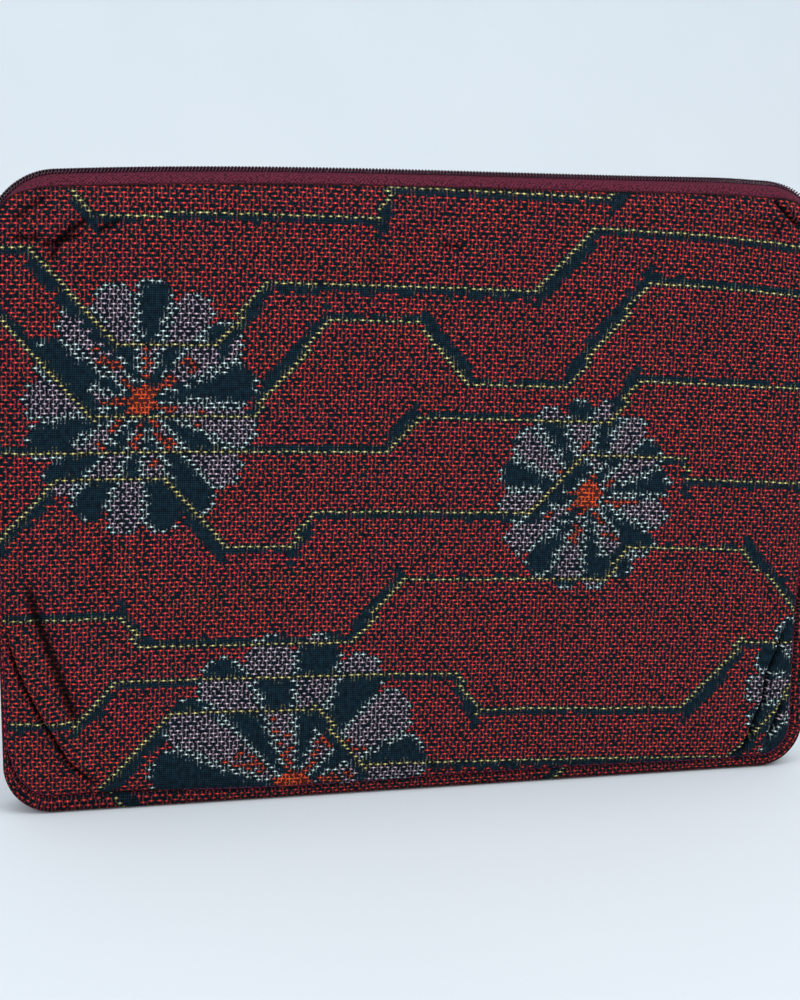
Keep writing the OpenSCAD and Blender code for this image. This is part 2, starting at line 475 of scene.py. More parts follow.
FRONT_CREASES = (
    Crease(
        2.4, 0.9, (-166, 87), (-163, 67), (-160, 57), (-157, 50), (-152, 39), (-148, 32), (-143, 22),
        (-136, 15), (-129, 9), lap=-0.5
    ),
    Crease(1.0, 1.0, (-138, 20), (-131, 12)),
    Crease(2.0, 3.3, (-157, 98), (-153, 80), (-147, 62), (-142, 46), (-138, 34)),
    Crease(1.0, 1.9, (-167, 82), (-156, 75)),
    Crease(1.2, 1.0, (-163, 16), (-159, 11)),
    Crease(2.6, 0.9, (158, 68), (152, 52), (148, 42), (147, 31), (143, 21), (139, 10), (132, 5)),
    Crease(2.0, 1.0, (157, 32), (153, 21), (149, 13)),
    Crease(2.6, 1.1, (141, 240), (146, 235), (154, 228)),
    Crease(1.0, 2.4, (128, 232), (146, 226)),
    Crease(1.5, 2.1, (-142, 240), (-149, 235), (-154, 231), (-158, 229)),
    Crease(1.8, 2.0, (-128, 231), (-136, 226), (-141, 221), (-144, 213)),
    Crease(1.7, 1.6, (-130, 225), (-140, 222), (-148, 220)),
    Crease(1.6, 1.5, (-158, 223), (-146, 223)),
    Crease(1.5, 1.7, (-127, 225), (-117, 230)),
    Crease(0.9, 2.6, (-164, 172), (-150, 166)),
    Crease(1.1, 1.2, (4, 221), (13, 220)),
    Crease(1.0, 1.0, (-32, 13), (-32, 5)),
    Crease(1.0, 1.0, (3, 16), (3, 7)),
    Crease(0.8, 3.0, (-126, 112), (-127, 86)),
    Crease(0.5, 5.0, (-20, 236), (-24, 196)),
    Crease(0.5, 5.0, (-70, 30), (-66, 8)),
)
BACK_CREASES = (
    Crease(1.2, 2.0, (-160, 60), (-152, 38), (-138, 16)),
    Crease(1.3, 1.9, (161, 70), (152, 42), (136, 14)),
    Crease(0.8, 2.6, (-158, 222), (-142, 237)),
    Crease(0.7, 2.6, (140, 238), (155, 224)),
    Crease(0.4, 6.0, (-40, 190), (30, 170)),
)

# the width over which a face rises from its seam, and its height at the seam
SHOULDER = 9
SEAM_Y = 9.5


def foam_height(inside, x, z):
    """How far the foam under a padded face stands off the middle of the sleeve."""
    t = min(max(inside / SHOULDER, 0), 1)
    height = lerp(SEAM_Y, HALF_D, math.sqrt(1 - (1 - t) ** 2))
    swell = max(0, 1 - (x / PANEL_HALF_W) ** 2) * max(0, 1 - ((z - HEIGHT / 2) / (HEIGHT / 2)) ** 2)
    return height + 0.9 * math.sqrt(swell)


def padded_height(inside, x, z, settled, creases, layer):
    """How far a padded face stands off the middle of the sleeve at x, z, and how much painted shade its
    folds get.
    """
    t = min(max(inside / SHOULDER, 0), 1)
    height = foam_height(inside, x, z) + settled(x, z)
    height += t * 0.1 * ripple(x, z, 13, layer + 3)
    height += 0.14 * bell(inside - 4, 5) * ripple(x, z, 5, layer + 6)
    painted_fold_shade = 0
    for crease in creases:
        lift, dark = crease.shape(x, z)
        height += lift * min(1, 0.45 + t)
        painted_fold_shade = max(painted_fold_shade, dark)
    return height, painted_fold_shade


# ---- meshes

def new_object(name, data):
    """Adds an object with a mesh, lamp or camera to the scene."""
    item = bpy.data.objects.new(name, data)
    bpy.context.scene.collection.objects.link(item)
    return item


def new_piece(name, points, faces, *materials):
    """A smooth-shaded mesh object from points in millimetres."""
    mesh = bpy.data.meshes.new(name)
    mesh.from_pydata([Vector(p) * MM for p in points], [], faces)
    for material in materials:
        mesh.materials.append(material)
    mesh.shade_smooth()
    return new_object(name, mesh)


def face_outwards(piece):
    """Turns the faces of a closed mesh outwards."""
    work = bmesh.new()
    work.from_mesh(piece.data)
    bmesh.ops.recalc_face_normals(work, faces=work.faces)
    work.to_mesh(piece.data)
    work.free()


def store(mesh, name, kind, domain, values):
    """Keeps one value for each point or face corner of a mesh as an attribute."""
    field = {"FLOAT": "value", "FLOAT_COLOR": "color", "FLOAT_VECTOR": "vector"}[kind]
    mesh.attributes.new(name, kind, domain).data.foreach_set(field, values)


def store_marks(mesh, cell_of, weave, plain_tick):
    """Gives each face the mark of its cell, or a dull one where cell_of finds no cell for its number."""
    colours = []
    ticks = []
    for polygon in mesh.polygons:
        cell = cell_of(polygon.index)
        colour, dash, tick = weave.cell(*cell) if cell else (MARK_COLOURS["red"], 0.4, plain_tick)
        colours += (*colour, dash) * polygon.loop_total
        ticks += (tick,) * polygon.loop_total
    store(mesh, "mark", "FLOAT_COLOR", "CORNER", colours)
    store(mesh, "tick", "FLOAT", "CORNER", ticks)


def clip(polygon, a, b):
    """The part of a polygon to the left of the line from a to b."""
    def side(p):
        return (b[0] - a[0]) * (p[1] - a[1]) - (b[1] - a[1]) * (p[0] - a[0])

    kept = []
    for p, q in sides_of(polygon):
        side_p = side(p)
        side_q = side(q)
        if side_p >= 0:
            kept.append(p)
        if side_p * side_q < 0:
            t = side_p / (side_p - side_q)
            kept.append(tuple(lerp(from_p, from_q, t) for from_p, from_q in zip(p, q)))
    return kept


SPLIT = 3


def cell_rings(column, row, is_fine):
    """A cell's corners in thirds of a cell, or those of its nine parts where the cloth is creased there.

    A plain cell takes two more corners on each side that it shares with a fine one.
    """
    i, j = column * SPLIT, row * SPLIT
    if is_fine(column, row):
        return [
            [(i + a, j + b), (i + a + 1, j + b), (i + a + 1, j + b + 1), (i + a, j + b + 1)]
            for a in range(SPLIT) for b in range(SPLIT)
        ]
    ring = []
    corners = ((i, j), (i + SPLIT, j), (i + SPLIT, j + SPLIT), (i, j + SPLIT))
    neighbours = ((column, row - 1), (column + 1, row), (column, row + 1), (column - 1, row))
    for (start, end), neighbour in zip(sides_of(corners), neighbours):
        ring.append(start)
        if is_fine(*neighbour):
            ring += [
                (start[0] + (end[0] - start[0]) * k // SPLIT, start[1] + (end[1] - start[1]) * k // SPLIT)
                for k in range(1, SPLIT)
            ]
    return [ring]


def cut_to_seam(polygon, seam):
    """The part of a cell that lies inside the seam."""
    depths = [edge_distance(*point[:2]) for point in polygon]
    if max(depths) <= 0:
        return []
    if min(depths) < 0.1:
        for a, b in seam:
            polygon = clip(polygon, a, b)
    return polygon


def panel_cells(width, height, creases=()):
    """The panel cut into cells of cloth: points, faces, and each face's column and row.

    A point is its drawn x, z and its place p, q on the cloth.
    """
    seam = sides_of(panel_outline())
    fine_cells = {}
    places = {}
    numbers = {}
    points = []
    faces = []
    cells = []

    def is_fine(column, row):
        if (column, row) not in fine_cells:
            x, z = cloth_to_panel((column + 0.5) * width, (row + 0.5) * height)
            fine_cells[column, row] = any(crease.is_near(x, z) for crease in creases)
        return fine_cells[column, row]

    def place(i, j):
        if (i, j) not in places:
            p, q = i * width / SPLIT, j * height / SPLIT
            places[i, j] = (*drawn_place(*cloth_to_panel(p, q)), p, q)
        return places[i, j]

    def number_of(point):
        """A point's number, the same for every cell that has the point."""
        key = (round(point[0], 2), round(point[1], 2))
        if key not in numbers:
            numbers[key] = len(points)
            points.append(point)
        return numbers[key]

    # the cloth lies askew, so its cells reach past the panel
    reach = HALF_W + 8
    past = 10
    for row in range(int(-past // height), int((HEIGHT + past) // height) + 1):
        for column in range(int(-reach // width), int(reach // width) + 1):
            middle = place(column * SPLIT + 1, row * SPLIT + 1)
            if edge_distance(*middle[:2]) < -2 * max(width, height):
                continue
            for ring in cell_rings(column, row, is_fine):
                face = []
                for point in cut_to_seam([place(i, j) for i, j in ring], seam):
                    number = number_of(point)
                    if face[-1:] != [number]:
                        face.append(number)
                if len(face) > 2 and face[0] == face[-1]:
                    face.pop()
                if len(face) > 2:
                    faces.append(face)
                    cells.append((column, row))
    return points, faces, cells


def border_edges(faces):
    """Edges that only one face has, each in that face's direction."""
    sides = {}
    for face in faces:
        for a, b in sides_of(face):
            sides[a, b] = True
    return [(a, b) for a, b in sides if (b, a) not in sides]


def border_loop(rim):
    """The points of a closed border in order."""
    follow = dict(rim)
    loop = [rim[0][0]]
    while follow[loop[-1]] != loop[0]:
        loop.append(follow[loop[-1]])
    return loop


def padded_panel(name, side, weave, settled, creases, layer):
    """A panel of cloth over foam: a woven face, turned edges and a plain back face.

    side is -1 for the front of the sleeve and 1 for its back.
    """
    flat, faces, cells = panel_cells(COLUMN, ROW, creases)
    points = []
    painted_shades = []
    for x, z, _, _ in flat:
        dx, dz = seam_shift(x, z)
        inside = edge_distance(x, z)
        height, painted_fold_shade = padded_height(inside, x + dx, z + dz, settled, creases, layer)
        points.append((x + dx, side * height, z + dz))
        # painted shade: the folds' shade, and a dark line of painted shade along the seam edge
        painted_shades.append(max(painted_fold_shade, 0.75 * bell(inside, 0.8)))
    rim = border_edges(faces)
    faces = list(faces)
    inner = {}
    for a, _ in rim:
        x, _, z = points[a]
        inner[a] = len(points)
        points.append((x * INNER_SHARE, side * LINING_Y, z + 0.3 * (1 - 2 * z / HEIGHT)))
        flat.append(flat[a])
        # painted shade: the turned edges and the back face are darkened in full
        painted_shades.append(1)
    for a, b in rim:
        faces.append([a, inner[a], inner[b], b])
    faces.append([inner[a] for a in border_loop(rim)][::-1])
    piece = new_piece(name, points, faces, KASURI)
    places = []
    for _, _, p, q in flat:
        places += (p / COLUMN, q / ROW, 0)
    store(piece.data, "cloth", "FLOAT_VECTOR", "POINT", places)
    store_marks(piece.data, lambda number: cells[number] if number < len(cells) else None, weave, 0.5)
    # the fold attribute carries this painted shade to the material
    store(piece.data, "fold", "FLOAT", "POINT", painted_shades)
    cut_back_face(piece)
    face_outwards(piece)
    return piece


def cut_back_face(piece):
    """Cuts the one large back face into strips, so that it can bend at the fold."""
    work = bmesh.new()
    work.from_mesh(piece.data)
    large_side = 20
    strip = 6
    z = PANEL_BOTTOM + strip
    while z < PANEL_TOP - strip:
        large = [face for face in work.faces if face.calc_area() > (large_side * MM) ** 2]
        edges = {edge for face in large for edge in face.edges}
        corners = {corner for face in large for corner in face.verts}
        bmesh.ops.bisect_plane(
            work, geom=[*large, *edges, *corners], plane_co=(0, 0, z * MM), plane_no=(0, 0, 1), dist=1e-6
        )
        z += strip
    work.to_mesh(piece.data)
    work.free()


def skin(faces, first, rings, size):
    """Adds the faces of a closed tube, whose rings of size points follow each other from point first."""
    for start in range(first, first + (rings - 1) * size, size):
        for k in range(size):
            a = start + k
            b = start + (k + 1) % size
            faces.append([a, b, b + size, a + size])
    end = first + (rings - 1) * size
    faces.append([first + k for k in range(size)][::-1])
    faces.append([end + k for k in range(size)])


def sweep(name, path, stations, profile, fit, material):
    """A closed strip: a closed profile of (y, inset) points carried along a path."""
    points = []
    places = []
    for s in stations:
        x, z, nx, nz = path(s)
        for number, (y, inset) in enumerate(profile):
            points.append(fit(x, z, nx, nz, y, inset))
            places += (s / COLUMN, number, 0)
    faces = []
    skin(faces, 0, len(stations), len(profile))
    piece = new_piece(name, points, faces, material)
    store(piece.data, "cloth", "FLOAT_VECTOR", "POINT", places)
    face_outwards(piece)
    return piece


def tube(name, centres, radius, sides, material, breaks=()):
    """A round tube along a line of points. breaks are the numbers of points where it starts anew."""
    points = []
    faces = []
    starts = [0, *breaks, len(centres)]
    for first, last in zip(starts, starts[1:]):
        run = centres[first:last]
        skin(faces, len(points), len(run), sides)
        normal = Vector((0, 0, 1))
        for k, centre in enumerate(run):
            ahead = (run[min(k + 1, len(run) - 1)] - run[max(k - 1, 0)]).normalized()
            normal = (normal - ahead * normal.dot(ahead)).normalized()
            side = ahead.cross(normal)
            for corner in range(sides):
                angle = 2 * math.pi * corner / sides
                points.append(centre + radius * (normal * math.cos(angle) + side * math.sin(angle)))
    piece = new_piece(name, points, faces, material)
    face_outwards(piece)
    return piece


def stations_between(start, end, step):
    """Evenly spaced lengths along a path, about step apart."""
    count = max(1, round((end - start) / step))
    return [lerp(start, end, k / count) for k in range(count + 1)]


def between(a, b, c, d, t):
    """The value at t between b and c on a smooth curve through a, b, c and d (Catmull-Rom)."""
    bend = (2 * a - 5 * b + 4 * c - d) * t * t
    twist = (3 * b - a - 3 * c + d) * t ** 3
    return 0.5 * (2 * b + (c - a) * t + bend + twist)


def rounded_section(points, step):
    """Points about step apart along a smooth curve through given points."""
    curve = []
    padded = [points[0], *points, points[-1]]
    for four in zip(padded, padded[1:], padded[2:], padded[3:]):
        count = max(1, round(math.dist(four[1], four[2]) / step))
        for k in range(count):
            curve.append(tuple(between(*values, k / count) for values in zip(*four)))
    curve.append(points[-1])
    return curve


# ---- materials

def feed(socket, value):
    """Sets a node's socket to a number or a colour, or links it to a term."""
    if isinstance(value, Term):
        socket.id_data.links.new(value.socket, socket)
    elif isinstance(value, tuple):
        socket.default_value = (*value, 1)
    else:
        socket.default_value = value


def new_node(tree, kind, *inputs, **settings):
    """A new node in a material's tree, with its first inputs given."""
    node = tree.nodes.new("ShaderNode" + kind)
    for key, value in settings.items():
        setattr(node, key, value)
    for socket, value in zip(node.inputs, inputs):
        feed(socket, value)
    return node


class Term:
    """A value that a material's nodes work out. Sums of terms make further nodes."""

    def __init__(self, socket):
        self.socket = socket

    def node(self, kind, *others, **settings):
        return new_node(self.socket.id_data, kind, self, *others, **settings)

    def math(self, operation, *others):
        return Term(self.node("Math", *others, operation=operation).outputs[0])

    def __add__(self, other):
        return self.math("ADD", other)

    def __sub__(self, other):
        return self.math("SUBTRACT", other)

    def __mul__(self, other):
        return self.math("MULTIPLY", other)

    def __truediv__(self, other):
        return self.math("DIVIDE", other)

    def __pow__(self, other):
        return self.math("POWER", other)

    def __abs__(self):
        return self.math("ABSOLUTE")

    def step(self, low, high, at_low=0.0, at_high=1.0):
        """A smooth step from at_low to at_high while the value goes from low to high."""
        node = self.node("MapRange", low, high, at_low, at_high, interpolation_type="SMOOTHSTEP")
        return Term(node.outputs[0])

    def spread(self, low, high):
        """A value between 0 and 1 taken to one between low and high."""
        return self.step(0, 1, low, high)

    def scaled(self, factor):
        """A colour made lighter or darker."""
        node = self.node("VectorMath", operation="SCALE")
        feed(node.inputs["Scale"], factor)
        return Term(node.outputs[0])

    def split(self):
        node = self.node("SeparateXYZ")
        return tuple(Term(output) for output in node.outputs)


class Shader:
    """A new material, with short calls for its nodes."""

    def __init__(self, name, roughness, **uniform):
        self.material = bpy.data.materials.new(name)
        self.material.use_nodes = True
        self.tree = self.material.node_tree
        self.surface = self.tree.nodes["Principled BSDF"]
        self.surface.inputs["Roughness"].default_value = roughness
        for socket, value in uniform.items():
            self.surface.inputs[socket.replace("_", " ")].default_value = value

    def mix(self, factor, a, b):
        node = new_node(self.tree, "Mix", factor, data_type="RGBA")
        feed(node.inputs[6], a)
        feed(node.inputs[7], b)
        return Term(node.outputs[2])

    def join(self, x, y, z=0.0):
        return Term(new_node(self.tree, "CombineXYZ", x, y, z).outputs[0])

    def dice(self, x, y, z):
        """Three random numbers for each whole x, y, z."""
        node = new_node(self.tree, "TexWhiteNoise", self.join(x, y, z), noise_dimensions="3D")
        return Term(node.outputs["Color"]).split()

    def noise(self, vector, scale, detail):
        node = new_node(self.tree, "TexNoise", vector)
        feed(node.inputs["Scale"], scale)
        feed(node.inputs["Detail"], detail)
        return Term(node.outputs[0])

    def attribute(self, name, output):
        return Term(new_node(self.tree, "Attribute", attribute_name=name).outputs[output])

    def position(self):
        return Term(new_node(self.tree, "TexCoord").outputs["Object"])

    def colour(self, value):
        feed(self.surface.inputs["Base Color"], value)

    def roughness(self, value):
        feed(self.surface.inputs["Roughness"], value)

    def bump(self, height, distance, strength):
        node = new_node(self.tree, "Bump")
        feed(node.inputs["Strength"], strength)
        feed(node.inputs["Distance"], distance)
        feed(node.inputs["Height"], height)
        self.tree.links.new(node.outputs[0], self.surface.inputs["Normal"])


def kasuri_material():
    """Dark slubby cloth. Each dyed weft float is a bright spot with dull tails, and dyed warps join them."""
    cloth = Shader("kasuri_cloth", 0.9, Specular_IOR_Level=0.08)
    u, v, _ = cloth.attribute("cloth", "Vector").split()
    row = v.math("FLOOR")
    brick_u = (u + row.math("FLOORED_MODULO", 2.0)) / 2.0
    r1, r2, r3 = cloth.dice(brick_u.math("FLOOR"), row, 0.0)

    # the spot and tails of a weft float, by the distances along and across it
    off = abs(brick_u.math("FRACT") - r1.spread(0.4, 0.6))
    level = abs(v.math("FRACT") - r3.spread(0.4, 0.6))
    past_end = off - r2.spread(0.22, 0.42)
    tail = past_end.step(-0.05, 0.05, 1, 0) * level.step(0.06, 0.17, 1, 0)
    spot = ((off / 0.17) ** 2.0 + (level / 0.22) ** 2.0).step(0.3, 1.1, 1, 0)

    # the warp thread that joins two floats across the gap between their rows
    warp = (u + 0.5).math("FLOOR")
    gap_v = v - 0.5
    gap_up = gap_v.math("FRACT")
    g1, g2, g3 = cloth.dice(warp, gap_v.math("FLOOR"), 7.0)
    lean = (gap_up - 0.5) * g2.spread(-0.25, 0.25)
    warp_off = abs(u - (warp + (g1.spread(-0.12, 0.12) + lean)))
    part = abs(gap_up - g2.spread(0.3, 0.7))
    tick = warp_off.step(0.05, 0.17, 1, 0) * part.step(0.38, 0.48, 1, 0)
    tick = tick * g3.step(0.2, 0.34) * cloth.attribute("tick", "Fac")

    # a mark's strength is its alpha, and a cell stronger than 1 is filled nearly solid
    mark = cloth.attribute("mark", "Color")
    alpha = cloth.attribute("mark", "Alpha")
    strength = alpha.math("MINIMUM", 1.0)
    core = alpha.step(1.0, 1.4, 0, 0.8)
    tail = tail * strength
    spot = (spot * strength).math("MAXIMUM", core * tail.math("MAXIMUM", tick))

    # the undyed ground, lighter where no marks are
    thread = (u * 2.0).math("PINGPONG", 0.5)
    weft = (v * 2.0).math("PINGPONG", 0.5)
    slub = cloth.noise(cloth.join(u * 0.9, v * 0.7), 1.0, 3.0)
    weave = (thread + weft) * slub
    light = weave.step(0.1, 0.55)
    marked = cloth.mix(light, srgb(6, 11, 17), srgb(20, 36, 46))
    plain = cloth.mix(light, srgb(5, 14, 22), srgb(24, 50, 62))
    ground = cloth.mix(strength.step(0.2, 0.6), plain, marked)
    ground = cloth.mix(core * 0.3, ground, mark.scaled(0.3))

    wear = cloth.noise(cloth.join(u, v), 0.06, 2.0).step(0.3, 0.7, 0.88, 1.1)
    bright = wear * r2.spread(0.8, 1.25)
    dull = cloth.mix(0.1, mark.scaled(0.33), srgb(130, 100, 140))
    colour = cloth.mix((tick * 0.95).math("MAXIMUM", tail), ground, dull)
    colour = cloth.mix(spot, colour, mark.scaled(bright))
    # painted shade: the fold attribute darkens the colour in crease valleys, along seams, on turned edges
    # and over the gusset
    cloth.colour(colour.scaled(cloth.attribute("fold", "Fac").spread(1, 0.06)))
    cloth.roughness(spot.spread(0.95, 0.75))
    cloth.bump(spot + tick.math("MAXIMUM", tail) * 0.5 + weave * 0.6, 0.2 * MM, 0.8)
    return cloth.material


def tape_material():
    """Burgundy polyester tape in a fine herringbone, darkened beside the panel by painted shade."""
    tape = Shader("zip_tape_cloth", 0.7, Specular_IOR_Level=0.08)
    u, v, _ = tape.attribute("cloth", "Vector").split()
    diagonal = (u * 1.1 + v.math("PINGPONG", 1.0)).math("FRACT")
    rib = abs(diagonal - 0.5).step(0.05, 0.4, 0.2, 1)
    fibre = tape.noise(tape.join(u * 1.3, v * 1.1), 1.0, 2.0)
    tone = rib * fibre.step(0.35, 0.65, 0.15, 1)
    thread_colour = tape.mix(tone.step(0.05, 0.6), srgb(40, 9, 22), srgb(110, 39, 62))
    # painted shade: the tape's colour is darkened along its edge under the panel
    tape.colour(thread_colour.scaled(v.step(0.6, 2.4, 0.3, 1)))
    tape.roughness(fibre.step(0.2, 0.8, 0.6, 0.8))
    tape.bump(tone, 0.2 * MM, 0.8)
    return tape.material


def lining_material():
    """Plain navy cotton with a close weave and a soft crumple."""
    lining = Shader("lining_cotton", 0.8, Sheen_Weight=0.1, Sheen_Roughness=0.5)
    u, v, _ = lining.position().split()
    warp = (u * 9000.0).math("SINE")
    weft = (v * 9000.0).math("SINE")
    grain = lining.noise(lining.position(), 900.0, 4.0)
    weave = (warp + weft) * 0.2 + grain
    lining.colour(lining.mix(weave.step(0.1, 0.9), srgb(34, 46, 62), srgb(66, 82, 100)))
    lining.roughness(grain.step(0.2, 0.8, 0.7, 0.9))
    lining.bump(weave, 0.08 * MM, 0.6)
    return lining.material


def coil_material():
    """Plum nylon monofilament."""
    coil = Shader("coil_nylon", 0.35, Specular_IOR_Level=0.16)
    grain = coil.noise(coil.position(), 1500.0, 2.0)
    coil.colour(coil.mix(grain, srgb(20, 7, 14), srgb(52, 20, 34)))
    coil.roughness(grain.step(0.3, 0.7, 0.32, 0.5))
    coil.bump(grain, 0.03 * MM, 0.4)
    return coil.material


def thread_material(name, dark, pale):
    """Twisted polyester sewing thread between two tones."""
    thread = Shader(name, 0.55, Specular_IOR_Level=0.12)
    grain = thread.noise(thread.position(), 3500.0, 3.0)
    thread.colour(thread.mix(grain, dark, pale))
    thread.roughness(grain.step(0.3, 0.7, 0.45, 0.65))
    thread.bump(grain, 0.05 * MM, 0.8)
    return thread.material


def metal_material():
    """Darkened nickel plate, with fine scratches and a faint mottle."""
    metal = Shader("dark_nickel", 0.35, Metallic=1.0)
    place = metal.position()
    x, y, z = place.split()
    scratch = metal.noise(metal.join(x, y * 9.0, z), 900.0, 4.0)
    mottle = metal.noise(place, 900.0, 3.0)
    metal.colour(metal.mix(mottle.step(0.3, 0.75), srgb(112, 109, 106), srgb(146, 142, 138)))
    metal.roughness(scratch.step(0.3, 0.75, 0.24, 0.48))
    metal.bump(scratch, 0.02 * MM, 0.5)
    return metal.material


def floor_material():
    """Matt white card, faintly mottled."""
    card = Shader("pale_card", 0.9, Specular_IOR_Level=0.2)
    mottle = card.noise(card.position(), 6.0, 3.0)
    card.colour(card.mix(mottle, srgb(216, 226, 233), srgb(221, 230, 237)))
    card.bump(card.noise(card.position(), 400.0, 4.0), 0.1 * MM, 0.2)
    return card.material


KASURI = kasuri_material()
TAPE = tape_material()
LINING = lining_material()
COIL = coil_material()
PANEL_THREAD = thread_material("plum_thread", srgb(58, 20, 46), srgb(104, 44, 82))
# real sewing thread whose pale tone is a painted highlight, standing in for the coil wires' highlights
ZIP_THREAD_AND_PAINTED_HIGHLIGHT = thread_material("zip_thread_and_painted_highlight", srgb(50, 24, 38), srgb(138, 92, 114))
CORD = thread_material("coil_cord", srgb(26, 8, 18), srgb(48, 18, 32))
METAL = metal_material()
CARD = floor_material()


# ---- camera, lights and floor

def look_from(azimuth, elevation, distance, aim, roll):
    """A camera's matrix: looking at aim from an azimuth left of the front, with a slight roll."""
    a, e = math.radians(azimuth), math.radians(elevation)
    back = Vector((math.sin(a) * math.cos(e), -math.cos(a) * math.cos(e), math.sin(e)))
    right = (-back).cross(Vector((0, 0, 1))).normalized()
    up = right.cross(-back)
    turn = math.radians(roll)
    rolled_right = right * math.cos(turn) + up * math.sin(turn)
    rolled_up = up * math.cos(turn) - right * math.sin(turn)
    matrix = Matrix((rolled_right, rolled_up, back)).transposed().to_4x4()
    matrix.translation = Vector(aim) * MM + back * distance * MM
    return matrix


def make_camera():
    data = bpy.data.cameras.new("camera")
    data.lens = 57.6
    data.clip_start = 0.01
    camera = new_object("camera", data)
    camera.matrix_world = look_from(
        azimuth=-11.85, elevation=9.87, distance=645, aim=(-8.8, 0, 119.3), roll=0.435
    )
    bpy.context.scene.camera = camera


def make_light(name, place, aim, size, power, colour):
    """A rectangular lamp at a place, turned towards a point."""
    data = bpy.data.lights.new(name, "AREA")
    data.shape = "RECTANGLE"
    data.size, data.size_y = size
    data.energy = power
    data.color = colour
    light = new_object(name, data)
    light.location = place
    light.rotation_euler = (Vector(aim) - Vector(place)).to_track_quat("-Z", "Y").to_euler()


def make_floor():
    """A wide sheet of card that curves up into a wall behind the sleeve."""
    profile = [(-2.5, 0)]
    bend = 0.6
    wall_y = 1.6
    steps = 12
    for step in range(steps + 1):
        angle = math.pi / 2 * step / steps
        profile.append((wall_y - bend + bend * math.sin(angle), bend - bend * math.cos(angle)))
    profile.append((wall_y, 2.4))
    points = [(x / MM, y / MM, z / MM) for x in (-3, 3) for y, z in profile]
    size = len(profile)
    faces = [[k, k + size, k + size + 1, k + 1] for k in range(size - 1)]
    floor = new_piece("floor", points, faces, CARD)


def light_scene():
    make_light("key", (1.2, -1.6, 1.9), (0, 0, 0.1), (1.6, 1.2), 24, (0.97, 0.99, 1))
    make_light("fill", (-1.7, -1.5, 1.3), (0, 0, 0.1), (1.5, 1.5), 15, (0.9, 0.96, 1))
    make_light("top", (0, -0.5, 2.3), (0, -0.1, 0), (2.6, 2.0), 17, (0.95, 0.98, 1))
    world = bpy.data.worlds.new("studio")
    world.use_nodes = True
    sky = world.node_tree.nodes["Background"]
    sky.inputs["Color"].default_value = (1, 0.96, 0.95, 1)
    sky.inputs["Strength"].default_value = 0.66
    bpy.context.scene.world = world
    bpy.context.scene.view_settings.view_transform = "Standard"


# ---- the pieces

def attach(side, *pieces):
    """Bakes the placement of pieces of the front (-1) into their meshes, and fixes pieces of the back to the
    body.
    """
    for piece in pieces:
        if side < 0:
            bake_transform(piece)
        else:
            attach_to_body(piece, "root")


# the cloth simulation that settles the padded faces, in squares of SETTLE_STEP
SETTLE_STEP = 6
SETTLE_FRAMES = 20
SETTLE_CAP = 1.6
SETTLE_QUALITY = 8
CLOTH_SLACK = 0.002
CLOTH_STIFFNESS = 40
CLOTH_BENDING = 60
FOAM_HOLD = 0.2
FOAM_PUSH = 1


def settle_face(layer):
    """Lets one face of cloth settle over its foam, and returns how far it moved outwards at any x, z.

    A coarse cloth simulation, held all round at the seam, loosely held and pushed out by the foam. The
    cloth is cut slightly larger than the foam, so it rucks softly.
    """
    columns = math.ceil(2 * PANEL_HALF_W / SETTLE_STEP) + 1
    rows = math.ceil((PANEL_TOP - PANEL_BOTTOM) / SETTLE_STEP) + 1
    points = []
    held = []
    for row in range(rows):
        for column in range(columns):
            x = lerp(-PANEL_HALF_W, PANEL_HALF_W, column / (columns - 1))
            z = lerp(PANEL_BOTTOM, PANEL_TOP, row / (rows - 1))
            inside = edge_distance(x, z)
            if inside < SETTLE_STEP / 2:
                held.append(len(points))
            points.append((x, -foam_height(inside, x, z) - 0.2 * ripple(x, z, 30, layer), z))
    faces = [
        [a, a + 1, a + columns + 1, a + columns]
        for row in range(rows - 1) for a in range(row * columns, (row + 1) * columns - 1)
    ]
    cloth = new_piece("settling_cloth", points, faces)
    group = cloth.vertex_groups.new(name="held")
    group.add(range(len(points)), FOAM_HOLD, "REPLACE")
    group.add(held, 1, "REPLACE")
    modifier = cloth.modifiers.new("settle", "CLOTH")
    settings = modifier.settings
    settings.quality = SETTLE_QUALITY
    settings.vertex_group_mass = group.name
    settings.tension_stiffness = CLOTH_STIFFNESS
    settings.compression_stiffness = CLOTH_STIFFNESS
    settings.bending_stiffness = CLOTH_BENDING
    settings.use_pressure = True
    settings.uniform_pressure_force = FOAM_PUSH
    settings.shrink_min = -CLOTH_SLACK
    settings.effector_weights.gravity = 0
    modifier.collision_settings.use_collision = False
    scene = bpy.context.scene
    for number in range(1, SETTLE_FRAMES + 1):
        scene.frame_set(number)
    ended = cloth.evaluated_get(bpy.context.evaluated_depsgraph_get()).data
    moves = [
        min(max(start[1] - vertex.co.y / MM, -SETTLE_CAP), SETTLE_CAP)
        for start, vertex in zip(points, ended.vertices)
    ]
    bpy.data.objects.remove(cloth)
    scene.frame_set(1)

    def settled(x, z):
        across = (x / PANEL_HALF_W + 1) / 2 * (columns - 1)
        up = (z - PANEL_BOTTOM) / (PANEL_TOP - PANEL_BOTTOM) * (rows - 1)
        column = min(max(int(across), 0), columns - 2)
        row = min(max(int(up), 0), rows - 2)
        a = row * columns + column
        s = min(max(across - column, 0), 1)
        t = min(max(up - row, 0), 1)
        return lerp(lerp(moves[a], moves[a + 1], s), lerp(moves[a + columns], moves[a + columns + 1], s), t)

    return settled


def make_panels():
    front_weave = Weave(lambda p, q: (p, q), seed=11)
    back_weave = Weave(lambda p, q: (-p, HEIGHT - q), seed=12)
    front = padded_panel("front_panel", -1, front_weave, settle_face(0), FRONT_CREASES, 0)
    back = padded_panel("back_panel_padded", 1, back_weave, settle_face(20), BACK_CREASES, 20)
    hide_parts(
        "front_panel_lower", "front_panel_upper", "front_padding_lower", "front_padding_upper"
    )
    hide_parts("back_panel", "back_padding")
    attach(-1, front)
    attach(1, back)


